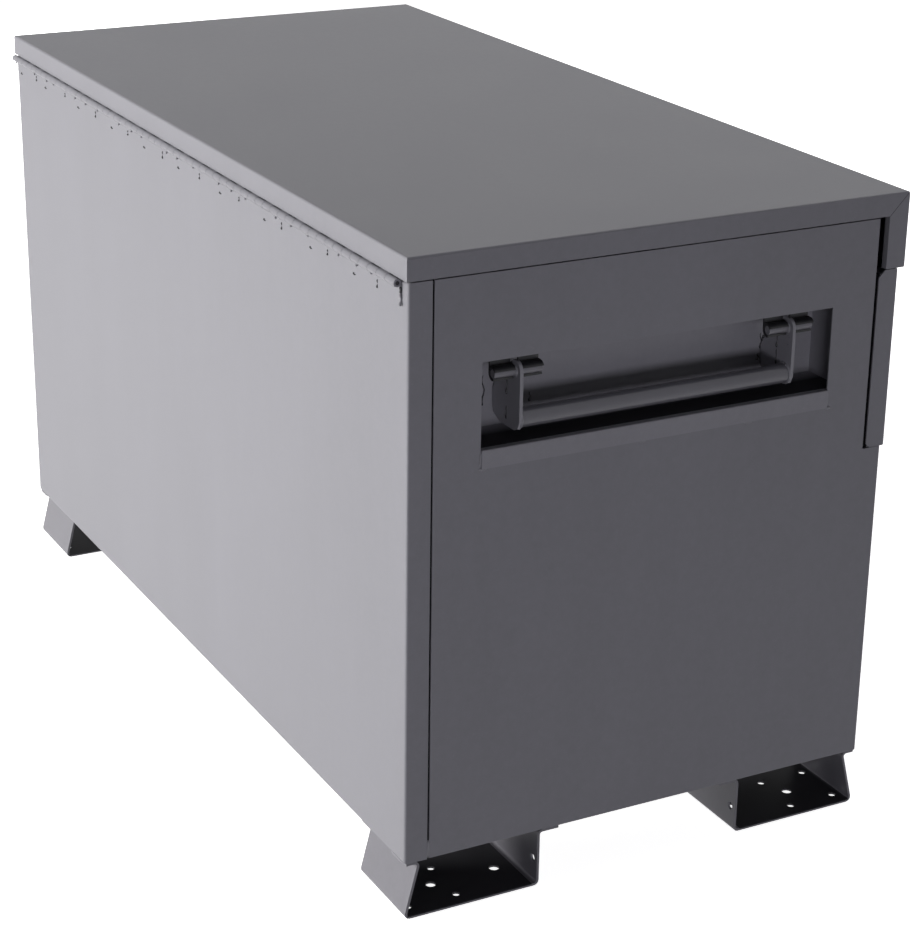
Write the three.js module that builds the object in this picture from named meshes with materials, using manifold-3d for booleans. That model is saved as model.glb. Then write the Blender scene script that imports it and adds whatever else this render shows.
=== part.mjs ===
import * as THREE from 'three';
import { mergeVertices } from 'three/addons/utils/BufferGeometryUtils.js';
import Module from 'manifold-3d';

// A jobsite storage box of welded sheet steel: a long chest on four open feet, with a hinged lid
// whose deep front flap covers two padlock housings, and a folding handle sunk into each end.
// Millimetres, +Z up. X runs along the box, -Y is the front and +Y the hinge side.
// The origin is on the floor under the middle of the whole object.

// Lid and overall sizes
const lidLength = 1219;
const lidDepth = 610;
const overallHeight = 746;
const sheet = 1.9;
const lidRim = 25.4;
const lidHem = 20;
const lidOverEnd = 2.4;
const lidOverBack = 2.5;
const flapDepth = 85;
const flapReturn = 25.4;
const flapLip = 8;

// Body sizes
const bodyUnderside = 69;
const frontSetback = 11.3;
const lidSeatGap = 2;
const topFlange = 25;
const bottomFlange = 27.5;
const cornerReturn = 27.5;
const seamGroove = 2.3;
const lapWidth = 25;
const lapGap = 0.4;
const stripLift = 3;
const fitGap = 0.3;

// Hinge sizes
const barrelDiameter = 9;
const leafThickness = 1.5;
const lowerLeafDrop = 19;
const upperLeafWidth = 18;
const knuckleLength = 20;
const knuckleGap = 0.6;
const hingeNearInset = 14;
const hingeFarInset = 6;
const hingePinRadius = 1.9;
const hingeBoreRadius = 2.4;
const leafNotchGap = 0.7;

// Cuts run past the face that they start from by this much
const overrun = 5;

// Planes that the pieces share
const barrelProud = barrelDiameter - lidOverBack;
const lidFront = -(lidDepth + barrelProud) / 2;
const lidBack = lidFront + lidDepth;
const back = lidBack - lidOverBack;
const front = lidFront + frontSetback;
const halfLid = lidLength / 2;
const halfBody = halfLid - lidOverEnd;
const rimBottom = overallHeight - lidRim;
const bodyTop = rimBottom - lidSeatGap;
const lidUnderside = overallHeight - sheet;
const hingeY = back + barrelDiameter / 2;
const hingeZ = rimBottom - barrelDiameter / 2;

const wasm = await Module();
wasm.setup();

// Corners are rounded to this fine a grid, so that faces drawn in one plane meet exactly
const gridStepsPerMillimetre = 1000;

// A closed three.js geometry as a solid that can be joined and cut
function solidOf(geometry) {
  geometry.deleteAttribute('normal');
  geometry.deleteAttribute('uv');
  const merged = mergeVertices(geometry);
  const onGrid = merged.getAttribute('position').array.map(
    (value) => Math.round(value * gridStepsPerMillimetre) / gridStepsPerMillimetre);
  return new wasm.Manifold(new wasm.Mesh({
    numProp: 3,
    vertProperties: new Float32Array(onGrid),
    triVerts: new Uint32Array(merged.getIndex().array),
  }));
}

function geometryOf(solid) {
  const mesh = solid.asOriginal().simplify().getMesh();
  const geometry = new THREE.BufferGeometry();
  geometry.setAttribute('position', new THREE.BufferAttribute(mesh.vertProperties, 3));
  geometry.setIndex(new THREE.BufferAttribute(mesh.triVerts, 1));
  geometry.computeVertexNormals();
  return geometry;
}

const join = (...solids) => solids.reduce((whole, next) => whole.add(next));
const cut = (solid, ...tools) => tools.reduce((left, tool) => left.subtract(tool), solid);

// A block between two values on each axis, in either order
function block(xs, ys, zs) {
  const low = new THREE.Vector3(Math.min(...xs), Math.min(...ys), Math.min(...zs));
  const high = new THREE.Vector3(Math.max(...xs), Math.max(...ys), Math.max(...zs));
  const size = high.clone().sub(low);
  const middle = high.clone().add(low).multiplyScalar(1 / 2);
  const geometry = new THREE.BoxGeometry(size.x, size.y, size.z);
  geometry.translate(middle.x, middle.y, middle.z);
  return solidOf(geometry);
}

// A flat outline pushed along one axis: drawn in Y and Z, in X and Z, or in X and Y
function prism(outline, along, from, to) {
  const geometry = new THREE.ExtrudeGeometry(outline, { depth: to - from, bevelEnabled: false });
  const turn = new THREE.Matrix4();
  if (along === 'x') {
    turn.makeBasis(new THREE.Vector3(0, 1, 0), new THREE.Vector3(0, 0, 1), new THREE.Vector3(1, 0, 0));
    turn.setPosition(from, 0, 0);
  } else if (along === 'y') {
    turn.makeBasis(new THREE.Vector3(1, 0, 0), new THREE.Vector3(0, 0, 1), new THREE.Vector3(0, -1, 0));
    turn.setPosition(0, to, 0);
  } else {
    turn.setPosition(0, 0, from);
  }
  geometry.applyMatrix4(turn);
  return solidOf(geometry);
}

// A round bar along one axis, centred on the other two coordinates
function bar(radius, along, from, to, first, second, sides) {
  const geometry = new THREE.CylinderGeometry(radius, radius, to - from, sides);
  const middle = (from + to) / 2;
  if (along === 'x') {
    geometry.rotateZ(Math.PI / 2).translate(middle, first, second);
  } else if (along === 'y') {
    geometry.translate(first, middle, second);
  } else {
    geometry.rotateX(Math.PI / 2).translate(first, second, middle);
  }
  return solidOf(geometry);
}

// The outline of a bent strip: its middle line with rounded bends, set off by half its thickness
function bentStrip(corners, thickness, bend, stepsPerBend) {
  const line = [];
  corners.forEach(([u, v], i) => {
    const here = new THREE.Vector2(u, v);
    if (i === 0 || i === corners.length - 1) {
      line.push(here);
      return;
    }
    const before = new THREE.Vector2(...corners[i - 1]).sub(here).normalize();
    const after = new THREE.Vector2(...corners[i + 1]).sub(here).normalize();
    const half = Math.acos(THREE.MathUtils.clamp(before.dot(after), -1, 1)) / 2;
    const toCentre = before.clone().add(after).normalize();
    const centre = here.clone().addScaledVector(toCentre, bend / Math.sin(half));
    const start = here.clone().addScaledVector(before, bend / Math.tan(half)).sub(centre);
    const end = here.clone().addScaledVector(after, bend / Math.tan(half)).sub(centre);
    const sweep = Math.atan2(start.cross(end), start.dot(end));
    for (let step = 0; step <= stepsPerBend; step += 1) {
      line.push(start.clone().rotateAround(new THREE.Vector2(), (sweep * step) / stepsPerBend).add(centre));
    }
  });
  const side = (sign) => line.map((point, i) => {
    const ahead = line[Math.min(i + 1, line.length - 1)];
    const behind = line[Math.max(i - 1, 0)];
    const along = ahead.clone().sub(behind).normalize();
    return point.clone().add(new THREE.Vector2(-along.y, along.x).multiplyScalar((sign * thickness) / 2));
  });
  return new THREE.Shape([...side(1), ...side(-1).reverse()]);
}

// The two X values that lie at these depths in from the end face of one side
function fromEnd(side, near, far) {
  return [near, far].map((depth) => side * (halfBody - depth)).sort((a, b) => a - b);
}

const paint = { color: 0x6f6d76, roughness: 0.55, metalness: 0.1 };
const innerPaint = { color: 0x66646d, roughness: 0.6, metalness: 0.1 };
const plated = { color: 0xb4b6b8, roughness: 0.35, metalness: 0.9 };

const box = new THREE.Group();

function addPiece(name, solid, finish) {
  const mesh = new THREE.Mesh(geometryOf(solid), new THREE.MeshStandardMaterial(finish));
  mesh.name = name;
  box.add(mesh);
}

const sides = { left: -1, right: 1 };

// Back panel: one sheet that wraps both rear corners, with a flange along its top and its bottom.
// Behind each end panel it is joggled inwards, so the two are lapped and a narrow groove is left.
const backStripFront = back - cornerReturn;
const lapDepth = sheet + lapGap;

function backPanel() {
  const face = block([-halfBody, halfBody], [back - sheet, back], [bodyUnderside, bodyTop]);
  const returns = Object.values(sides).flatMap((side) => [
    block(fromEnd(side, 0, sheet), [backStripFront, back], [bodyUnderside, bodyTop]),
    block(fromEnd(side, 0, lapDepth + sheet), [backStripFront, backStripFront + sheet],
      [bodyUnderside + stripLift, bodyTop]),
    block(fromEnd(side, lapDepth, lapDepth + sheet), [backStripFront - lapWidth, backStripFront + sheet],
      [bodyUnderside + stripLift, bodyTop]),
  ]);
  const flanges = [
    block([-halfBody, halfBody], [back - topFlange, back], [bodyTop - sheet, bodyTop]),
    block([-halfBody, halfBody], [back - bottomFlange, back], [bodyUnderside, bodyUnderside + sheet]),
  ];
  return join(face, ...returns, ...flanges);
}

// Lock channel: a shallow cover across the front whose ends turn round onto the end faces
const channelProud = 4.9;
const channelHeight = 206.5;
const channelReturn = 20.6;
const channelTopGap = 1.5;
const channelEdgeGap = 4.5;
const channelTopCorner = 8;
const channelBottomCorner = 5;
const channelFace = front - channelProud;
const flapBottom = overallHeight - flapDepth;
const channelTop = flapBottom - channelTopGap;
const channelBottom = channelTop - channelHeight;
const notchEdge = front + channelReturn + channelEdgeGap;
const notchBottom = channelBottom - fitGap;

// Handle pocket, its opening in the end panel, and the lip that folds down over the panel
const openingDrop = 93.1;
const openingHeight = 94.5;
const pocketFromBack = 84.3;
const pocketFromFront = 79.9;
const pocketDepth = 62;
const pocketSideMargin = 19;
const pocketCeilingMargin = 4;
const pocketLipDrop = 20.5;
const pocketFlange = 18;
const openingTop = bodyTop - openingDrop;
const openingBottom = openingTop - openingHeight;
const openingBack = back - pocketFromBack;
const openingFront = front + pocketFromFront;
const openingWidth = openingBack - openingFront;
const pocketMiddle = (openingBack + openingFront) / 2;
const pocketBack = openingBack + pocketSideMargin;
const pocketFront = openingFront - pocketSideMargin;
const pocketCeiling = openingTop + pocketCeilingMargin;

// End panel: a sheet with flanged edges and the handle opening. Its front edge turns round the
// corner and is joggled inwards, so it laps behind the front panel and leaves a narrow groove.
const endRear = backStripFront - seamGroove;
const frontLapEnd = cornerReturn + seamGroove + lapWidth;

function endPanel(side) {
  const face = block(fromEnd(side, 0, sheet), [front, endRear], [bodyUnderside, bodyTop]);
  const cornerTurn = block(fromEnd(side, 0, cornerReturn), [front, front + sheet], [bodyUnderside, bodyTop]);
  const joggle = block(fromEnd(side, cornerReturn - sheet, cornerReturn), [front, front + lapDepth + sheet],
    [bodyUnderside + stripLift, bodyTop]);
  const lap = block(fromEnd(side, cornerReturn - sheet, frontLapEnd),
    [front + lapDepth, front + lapDepth + sheet], [bodyUnderside + stripLift, bodyTop]);
  const top = block(fromEnd(side, 0, topFlange), [notchEdge, backStripFront - lapWidth - fitGap],
    [bodyTop - sheet, bodyTop]);
  const bottom = block(fromEnd(side, 0, bottomFlange), [front, backStripFront - lapWidth - fitGap],
    [bodyUnderside, bodyUnderside + sheet]);
  const notch = block(fromEnd(side, -overrun, frontLapEnd + overrun), [front - overrun, notchEdge],
    [notchBottom, bodyTop + overrun]);
  const opening = block(fromEnd(side, -overrun, sheet + overrun), [openingFront, openingBack],
    [openingBottom - sheet, openingTop]);
  return cut(join(face, cornerTurn, joggle, lap, top, bottom), notch, opening);
}

// Front panel: it stops short of the end panels' returns below, is full width behind the lock
// channel, and then has a ledge and a wall set back to make room for the latch under the flap
const recess = 28;
const ledgeDrop = 63.6;
const frontReturn = 32;
const ledgeHeight = bodyTop - ledgeDrop;
const frontHalf = halfBody - lapDepth;
const frontSeam = halfBody - cornerReturn - seamGroove;
const frontUpperBottom = notchBottom + fitGap;

// Padlock housings behind the channel, one towards each end
const lockFromEnd = 227.1;
const lockHalfWidth = 55;
const lockHeight = 92;
const lockDepth = 58;
const lockHoleMargin = 6;
const lockFromMiddle = halfBody - lockFromEnd;
const lockTop = ledgeHeight - sheet;
const lockBottom = lockTop - lockHeight;
const tongueWidth = 50;
const tongueThickness = 4;
const tongueSetback = 14;
const tongueEndAboveFloor = 34;
const tongueSlotBefore = 11;
const tongueSlotAfter = 4;
const tongueSlotSide = 6;
const shackleHoleRadius = 6.5;
const shackleHoleSides = 16;
const shackleHoleRise = 16;
const tongueBottom = lockBottom + tongueEndAboveFloor;
const shackleHeight = tongueBottom + shackleHoleRise;
const tongueFront = front + tongueSetback;
const tongueBack = tongueFront + tongueThickness;

function frontPanel() {
  const lower = block([-frontSeam, frontSeam], [front, front + sheet], [bodyUnderside, frontUpperBottom]);
  const upper = block([-frontHalf, frontHalf], [front, front + sheet], [frontUpperBottom, ledgeHeight]);
  const ledge = block([-frontHalf, frontHalf], [front, front + recess + sheet],
    [ledgeHeight - sheet, ledgeHeight]);
  const wall = block([-frontHalf, frontHalf], [front + recess, front + recess + sheet],
    [ledgeHeight - sheet, bodyTop]);
  const rim = block([-frontHalf, frontHalf], [front + recess, front + recess + topFlange],
    [bodyTop - sheet, bodyTop]);
  const bottom = block([-frontSeam, frontSeam], [front, front + bottomFlange],
    [bodyUnderside, bodyUnderside + sheet]);
  const returns = Object.values(sides).map((side) => block(fromEnd(side, lapDepth, lapDepth + sheet),
    [front, front + frontReturn], [frontUpperBottom, ledgeHeight]));
  const holes = Object.values(sides).flatMap((side) => {
    const middle = side * lockFromMiddle;
    const windowHalf = lockHalfWidth - sheet;
    const slotHalf = tongueWidth / 2 + tongueSlotSide;
    return [
      block([middle - windowHalf, middle + windowHalf], [front - overrun, front + sheet + overrun],
        [lockBottom + sheet, lockTop - sheet]),
      block([middle - slotHalf, middle + slotHalf],
        [tongueFront - tongueSlotBefore, tongueBack + tongueSlotAfter],
        [lockTop - overrun, ledgeHeight + overrun]),
    ];
  });
  const flangeGap = Object.values(sides).map((side) => block(
    fromEnd(side, -overrun, topFlange + fitGap),
    [notchEdge - fitGap, front + recess + topFlange + overrun],
    [bodyTop - sheet - overrun, bodyTop + overrun],
  ));
  return cut(join(lower, upper, ledge, wall, rim, bottom, ...returns), ...holes, ...flangeGap);
}

function lockChannel() {
  const face = block([-halfBody, halfBody], [channelFace, channelFace + sheet], [channelBottom, channelTop]);
  const lips = [channelBottom, channelTop - sheet].map((z) => block(
    [-halfBody, halfBody], [channelFace, front], [z, z + sheet]));
  const returnEdge = front + channelReturn;
  const flat = new THREE.Shape([
    new THREE.Vector2(channelFace, channelBottom),
    new THREE.Vector2(returnEdge - channelBottomCorner, channelBottom),
    new THREE.Vector2(returnEdge, channelBottom + channelBottomCorner),
    new THREE.Vector2(returnEdge, channelTop - channelTopCorner),
    new THREE.Vector2(returnEdge - channelTopCorner, channelTop),
    new THREE.Vector2(channelFace, channelTop),
  ]);
  const returns = Object.values(sides).map((side) => prism(flat, 'x', ...fromEnd(side, 0, sheet)));
  const windowHalf = lockHalfWidth - lockHoleMargin;
  const holes = Object.values(sides).map((side) => block(
    [side * lockFromMiddle - windowHalf, side * lockFromMiddle + windowHalf],
    [channelFace - overrun, front], [lockBottom + lockHoleMargin, lockTop - lockHoleMargin]));
  return cut(join(face, ...lips, ...returns), ...holes);
}

// Lock housing: a cup welded behind the hole in the front panel. The ledge covers the front of it,
// and a roof of its own covers what reaches further back.
function lockHousing(side) {
  const middle = side * lockFromMiddle;
  const outer = block([middle - lockHalfWidth, middle + lockHalfWidth],
    [front + sheet, front + lockDepth], [lockBottom, lockTop]);
  const across = [middle - lockHalfWidth + sheet, middle + lockHalfWidth - sheet];
  const room = block(across, [front - overrun, front + lockDepth - sheet],
    [lockBottom + sheet, lockTop - sheet]);
  const underLedge = block(across, [front - overrun, front + recess],
    [lockBottom + sheet, lockTop + overrun]);
  return cut(outer, room, underLedge);
}

// Lock hook: a shelf on the housing's back wall that turns down behind the lid's tongue
const hookPlate = 4;
const hookGap = 1;
const hookDrop = 54;
const hookShelfDrop = 8;

function lockHook(side) {
  const middle = side * lockFromMiddle;
  const across = [middle - tongueWidth / 2, middle + tongueWidth / 2];
  const plateFront = tongueBack + hookGap;
  const top = lockTop - hookShelfDrop;
  const plate = block(across, [plateFront, plateFront + hookPlate], [top - hookDrop, top]);
  const shelf = block(across, [plateFront, front + lockDepth - sheet], [top - hookPlate, top]);
  const hole = bar(shackleHoleRadius, 'y', plateFront - overrun, plateFront + hookPlate + overrun,
    middle, shackleHeight, shackleHoleSides);
  return cut(join(plate, shelf), hole);
}

// Floor: a flat sheet that rests on the bottom flanges
const floorClear = 3;

function floorPanel() {
  const level = bodyUnderside + sheet;
  return block([-halfBody + lapDepth + sheet + floorClear, halfBody - lapDepth - sheet - floorClear],
    [front + lapDepth + sheet + floorClear, back - sheet - floorClear], [level, level + sheet]);
}

// Feet: open hat sections, bent from plate and drilled for casters and for anchor bolts
const footPlate = 3;
const footLength = 110;
const footEndInset = 0.7;
const footWidth = 168;
const footLean = 17;
const footBend = 4.5;
const footBendSteps = 3;
const footInnerFlange = 25;
const footHoleRadius = 4.5;
const footBigHoleRadius = 6;
const footHoleSides = 12;
const casterAlong = 61.5;
const casterAcross = 59.7;
const casterFromEnd = 19;
const casterFromOuter = 14.5;
const pivotHoleShift = 14;
const anchorHoleFromPivot = 80;
const wallHoleHeight = 30;
const wallHoleFromEnd = 10;

function foot(side, outer, inward) {
  const bottomY = outer + inward * (footPlate / 2);
  const leanY = bottomY + inward * footLean;
  const innerY = outer + inward * (footWidth - footPlate / 2);
  const low = footPlate / 2;
  const high = bodyUnderside - footPlate / 2;
  const section = bentStrip([
    [outer + inward * footPlate, high], [leanY, high], [bottomY, low], [innerY, low], [innerY, high],
    [innerY + inward * footInnerFlange, high],
  ], footPlate, footBend, footBendSteps);
  const [from, to] = fromEnd(side, footEndInset, footEndInset + footLength);
  const channel = prism(section, 'x', from, to);
  const nearX = side * (halfBody - footEndInset - casterFromEnd);
  const farX = nearX - side * casterAlong;
  const pivotX = (nearX + farX) / 2;
  const outerRow = outer + inward * casterFromOuter;
  const innerRow = outerRow + inward * casterAcross;
  const pivotY = (outerRow + innerRow) / 2 + inward * pivotHoleShift;
  const drill = (radius, x, y) => bar(radius, 'z', -overrun, footPlate + overrun, x, y, footHoleSides);
  const holes = [nearX, farX].flatMap((x) => [outerRow, innerRow].map((y) => drill(footHoleRadius, x, y)));
  const wallHole = bar(footHoleRadius, 'y', innerY - footPlate - overrun, innerY + footPlate + overrun,
    side * (halfBody - footEndInset - wallHoleFromEnd), wallHoleHeight, footHoleSides);
  return cut(channel, ...holes, drill(footBigHoleRadius, pivotX, pivotY),
    drill(footBigHoleRadius, pivotX, pivotY + inward * anchorHoleFromPivot), wallHole);
}

// Handle pocket: a pan behind the end panel. Its floor comes out through the opening and folds
// down over the outside of the panel.
function handlePocket(side) {
  const outer = block(fromEnd(side, sheet + fitGap, pocketDepth + sheet),
    [pocketFront - sheet, pocketBack + sheet], [openingBottom - sheet, pocketCeiling + sheet]);
  const inner = block(fromEnd(side, -overrun, pocketDepth), [pocketFront, pocketBack],
    [openingBottom, pocketCeiling]);
  const flangeAt = fromEnd(side, sheet + fitGap, sheet + fitGap + sheet);
  const flange = block(flangeAt, [pocketFront - sheet, pocketBack + sheet],
    [openingBottom - sheet, pocketCeiling + pocketFlange]);
  const sill = block(fromEnd(side, -fitGap - sheet, sheet + fitGap + sheet),
    [openingFront + fitGap, openingBack - fitGap], [openingBottom - sheet + fitGap, openingBottom]);
  const lip = block(fromEnd(side, -fitGap - sheet, -fitGap), [openingFront + fitGap, openingBack - fitGap],
    [openingBottom - pocketLipDrop, openingBottom]);
  return join(cut(join(outer, flange), inner), sill, lip);
}

// Handle: two arm plates hang from short pivot rods and carry a tube between them
const pivotDepth = 14;
const pivotDrop = 23.5;
const pivotRodRadius = 5;
const pivotRodLength = 56;
const pivotRodSides = 16;
const armInset = 47.5;
const armThickness = 4;
const armTopRadius = 11.5;
const armTopSteps = 5;
const armHoleGap = 0.3;
const gripRadius = 10.65;
const gripBore = 8;
const gripSides = 24;
const gripDrop = 52;
const armBottomDrop = 65;
const armLobeReach = 47;
const armLobeTopDrop = 26;
const armLobeRearDrop = 50;
const armLobeCorner = 16;
const armLobeBevel = 4;
const armLobeTopEase = 8;
const armLobeBottomEase = 5.3;
const strapGap = 0.4;
const strapThickness = 2.4;
const strapSides = 16;
const strapLength = 24;
const strapFromArm = 4.5;
const strapMouthTurn = 0.35;
const strapMouthHalf = 0.8;
const strapLeafHeight = 3;
const strapLeafDepth = 24;
const pivotHeight = pocketCeiling - pivotDrop;
const armSpan = openingWidth - 2 * armInset;
const strapRadius = pivotRodRadius + strapGap;

function armOutline(side) {
  const pivotX = side * (halfBody - pivotDepth);
  const inward = -side;
  const outline = new THREE.Shape();
  const place = (depth, drop) => [pivotX + inward * depth, pivotHeight - drop];
  const points = [];
  for (let step = 0; step <= armTopSteps * 2; step += 1) {
    const angle = Math.PI - (Math.PI * 3 * step) / (armTopSteps * 8);
    points.push(place(armTopRadius * Math.cos(angle), -armTopRadius * Math.sin(angle)));
  }
  points.push(place(armLobeReach - armLobeBevel, armLobeTopDrop));
  points.push(place(armLobeReach, armLobeTopDrop + armLobeTopEase));
  points.push(place(armLobeReach, armLobeRearDrop));
  points.push(place(armLobeReach - armLobeBevel, armBottomDrop - armLobeBottomEase));
  points.push(place(armLobeReach - armLobeCorner, armBottomDrop));
  points.push(place(0, armBottomDrop));
  points.push(place(-armTopRadius * Math.SQRT1_2, armBottomDrop - armTopRadius * (1 - Math.SQRT1_2)));
  points.push(place(-armTopRadius, armBottomDrop - armTopRadius));
  points.forEach(([x, z], i) => (i ? outline.lineTo(x, z) : outline.moveTo(x, z)));
  return outline;
}

function handleArm(side, middleY) {
  const plate = prism(armOutline(side), 'y', middleY - armThickness / 2, middleY + armThickness / 2);
  const hole = bar(pivotRodRadius + armHoleGap, 'y', middleY - armThickness, middleY + armThickness,
    side * (halfBody - pivotDepth), pivotHeight, pivotRodSides);
  return cut(plate, hole);
}

function pivotRod(side, middleY) {
  return bar(pivotRodRadius, 'y', middleY - pivotRodLength / 2, middleY + pivotRodLength / 2,
    side * (halfBody - pivotDepth), pivotHeight, pivotRodSides);
}

function handleGrip(side) {
  const reach = armSpan / 2 - armThickness / 2;
  const at = [side * (halfBody - pivotDepth), pivotHeight - gripDrop];
  const tube = bar(gripRadius, 'y', pocketMiddle - reach, pocketMiddle + reach, ...at, gripSides);
  return cut(tube, bar(gripBore, 'y', pocketMiddle - reach - overrun, pocketMiddle + reach + overrun,
    ...at, gripSides));
}

// Pivot strap: two curled hooks on one leaf under the pocket's ceiling, open towards the outside,
// with the arm between them
function pivotStrap(side, middleY) {
  const x = side * (halfBody - pivotDepth);
  const strapOuter = strapRadius + strapThickness;
  const mouth = new THREE.Shape();
  const outward = side > 0 ? 0 : Math.PI;
  const turn = -side * strapMouthTurn;
  const reach = strapOuter * 2;
  mouth.moveTo(x, pivotHeight);
  [-strapMouthHalf, 0, strapMouthHalf].forEach((offset) => {
    const angle = outward + turn + offset;
    mouth.lineTo(x + reach * Math.cos(angle), pivotHeight + reach * Math.sin(angle));
  });
  const hooks = [-1, 1].map((way) => {
    const near = middleY + way * strapFromArm;
    const far = middleY + way * (strapFromArm + strapLength);
    const [from, to] = [Math.min(near, far), Math.max(near, far)];
    const curl = join(
      bar(strapOuter, 'y', from, to, x, pivotHeight, strapSides),
      block([x, x - side * strapOuter], [from, to], [pivotHeight, pocketCeiling]),
    );
    return cut(curl, bar(strapRadius, 'y', from - overrun, to + overrun, x, pivotHeight, strapSides),
      block([x, x - side * (strapOuter - strapThickness)], [from - overrun, to + overrun],
        [pivotHeight + strapOuter, pocketCeiling - strapLeafHeight]),
      prism(mouth, 'y', from - overrun, to + overrun));
  });
  const leaf = block([x, x - side * (strapOuter + strapLeafDepth)],
    [middleY - strapFromArm - strapLength, middleY + strapFromArm + strapLength],
    [pocketCeiling - strapLeafHeight, pocketCeiling]);
  return join(...hooks, leaf);
}

// Continuous hinge: the lower leaf lies on the back panel, the upper one under the lid's hem
const hingeFrom = -halfBody + hingeNearInset;
const hingeTo = halfBody - hingeFarInset;
const knuckleCount = Math.floor((hingeTo - hingeFrom) / knuckleLength);
const knucklePitch = (hingeTo - hingeFrom) / knuckleCount;
const knuckleSides = 8;

function knuckles(parity, neckOf) {
  const barrel = bar(barrelDiameter / 2, 'x', hingeFrom, hingeTo, hingeY, hingeZ, knuckleSides);
  const gaps = [];
  const necks = [];
  for (let i = 0; i < knuckleCount; i += 1) {
    const from = hingeFrom + i * knucklePitch;
    const to = from + knucklePitch;
    if (i % 2 === parity) {
      necks.push(neckOf(from + knuckleGap / 2, to - knuckleGap / 2));
    } else {
      gaps.push(block([from - knuckleGap / 2, to + knuckleGap / 2],
        [hingeY - barrelDiameter, hingeY + barrelDiameter],
        [hingeZ - barrelDiameter, hingeZ + barrelDiameter]));
    }
  }
  return { barrel, gaps, necks };
}

function hingeBore() {
  return bar(hingeBoreRadius, 'x', hingeFrom - overrun, hingeTo + overrun, hingeY, hingeZ, knuckleSides);
}

function lowerLeaf() {
  const { barrel, gaps, necks } = knuckles(0, (from, to) => block([from, to], [back, back + leafThickness],
    [hingeZ - barrelDiameter, hingeZ]));
  const leaf = block([hingeFrom, hingeTo], [back, back + leafThickness],
    [hingeZ - lowerLeafDrop, hingeZ - barrelDiameter / 2 - leafNotchGap]);
  return cut(join(cut(barrel, ...gaps), leaf, ...necks), hingeBore());
}

function upperLeaf() {
  const { barrel, gaps, necks } = knuckles(1, (from, to) => block([from, to],
    [hingeY - barrelDiameter, hingeY], [rimBottom - leafThickness, rimBottom]));
  const leaf = block([hingeFrom, hingeTo],
    [hingeY - upperLeafWidth, hingeY - barrelDiameter / 2 - leafNotchGap],
    [rimBottom - leafThickness, rimBottom]);
  return cut(join(cut(barrel, ...gaps), leaf, ...necks), hingeBore());
}

function hingePin() {
  return bar(hingePinRadius, 'x', hingeFrom, hingeTo, hingeY, hingeZ, knuckleSides);
}

// Lid: a pan with a hemmed rim at the back and the ends and a deep flap with end returns in front
function lidShell() {
  const rimTop = rimBottom + sheet;
  const pan = block([-halfLid, halfLid], [lidFront, lidBack], [rimBottom, overallHeight]);
  const hollow = block([-halfLid + sheet, halfLid - sheet], [lidFront + sheet, lidBack - sheet],
    [rimTop, lidUnderside]);
  const mouth = block([-halfLid + lidHem, halfLid - lidHem], [lidFront + sheet, lidBack - lidHem],
    [rimBottom - overrun, rimTop + overrun]);
  const frontMouth = block([-halfLid + sheet, halfLid - sheet],
    [lidFront + sheet, lidFront + flapReturn - sheet], [rimBottom - overrun, rimTop + overrun]);
  const flap = block([-halfLid, halfLid], [lidFront, lidFront + sheet], [flapBottom, rimTop]);
  const ends = Object.values(sides).flatMap((side) => {
    const outer = side * halfLid;
    return [
      block([outer - side * sheet, outer], [lidFront, lidFront + flapReturn], [flapBottom, rimTop]),
      block([outer - side * flapLip, outer], [lidFront + flapReturn - sheet, lidFront + flapReturn],
        [flapBottom, rimTop]),
    ];
  });
  return join(cut(pan, hollow, mouth, frontMouth), flap, ...ends);
}

// Stiffeners: shallow channels spot welded under the lid from front to back
const stiffenerFromMiddle = 270;
const stiffenerWidth = 70;
const stiffenerDepth = 18;
const stiffenerPlate = 1.5;
const stiffenerFlange = 16;
const stiffenerFrontClear = 40;
const stiffenerBackClear = 26;

function lidStiffener(side) {
  const middle = side * stiffenerFromMiddle;
  const along = [lidFront + stiffenerFrontClear, lidBack - stiffenerBackClear];
  const web = [lidUnderside - stiffenerDepth, lidUnderside - stiffenerDepth + stiffenerPlate];
  const half = stiffenerWidth / 2;
  return join(
    block([middle - half, middle + half], along, web),
    ...[-1, 1].flatMap((way) => [
      block([middle + way * half, middle + way * (half - stiffenerPlate)], along, [web[0], lidUnderside]),
      block([middle + way * (half + stiffenerFlange), middle + way * (half - stiffenerPlate)], along,
        [lidUnderside - stiffenerPlate, lidUnderside]),
    ]),
  );
}

// Lid tongue: hangs behind the flap into the lock housing and takes the padlock's shackle
function lidTongue(side) {
  const middle = side * lockFromMiddle;
  const across = [middle - tongueWidth / 2, middle + tongueWidth / 2];
  const plate = block(across, [tongueFront, tongueBack], [tongueBottom, lidUnderside]);
  const head = block(across, [lidFront + sheet, tongueBack], [lidUnderside - tongueThickness, lidUnderside]);
  const hole = bar(shackleHoleRadius, 'y', tongueFront - overrun, tongueBack + overrun, middle, shackleHeight,
    shackleHoleSides);
  return cut(join(plate, head), hole);
}

// Lid stays: each slotted arm pivots on a lug under the lid and slides on a stud on the pocket.
// Pivot and stud are equally far from the hinge, so the arm turns half as far as the lid.
const lidOpening = THREE.MathUtils.degToRad(105);
const stayReach = 165;
const stayPivotDrop = 12;
const stayRestAngle = THREE.MathUtils.degToRad(40);
const stayPlate = 3;
const stayHalfWidth = 11;
const stayEndSteps = 6;
const slotHalfWidth = 4.6;
const slotSpare = 3;
const studRadius = 4;
const studHeadRadius = 8;
const studHeadThickness = 3;
const studSides = 16;
const stayStandoff = 3;
const stayRunningGap = 0.5;
const lugWidth = 30;
const lugFoot = 18;
const rivetRadius = 4;
const rivetHeadRadius = 7;
const rivetHeadThickness = 2;
const rivetHoleGap = 0.4;
const stayRadius = Math.hypot(stayReach, stayPivotDrop);
const stayPivotAngle = Math.atan2(stayPivotDrop, stayReach);
const stayPivotY = hingeY - stayReach;
const stayPivotZ = hingeZ - stayPivotDrop;
const studY = hingeY - stayRadius * Math.cos(stayPivotAngle + stayRestAngle);
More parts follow.
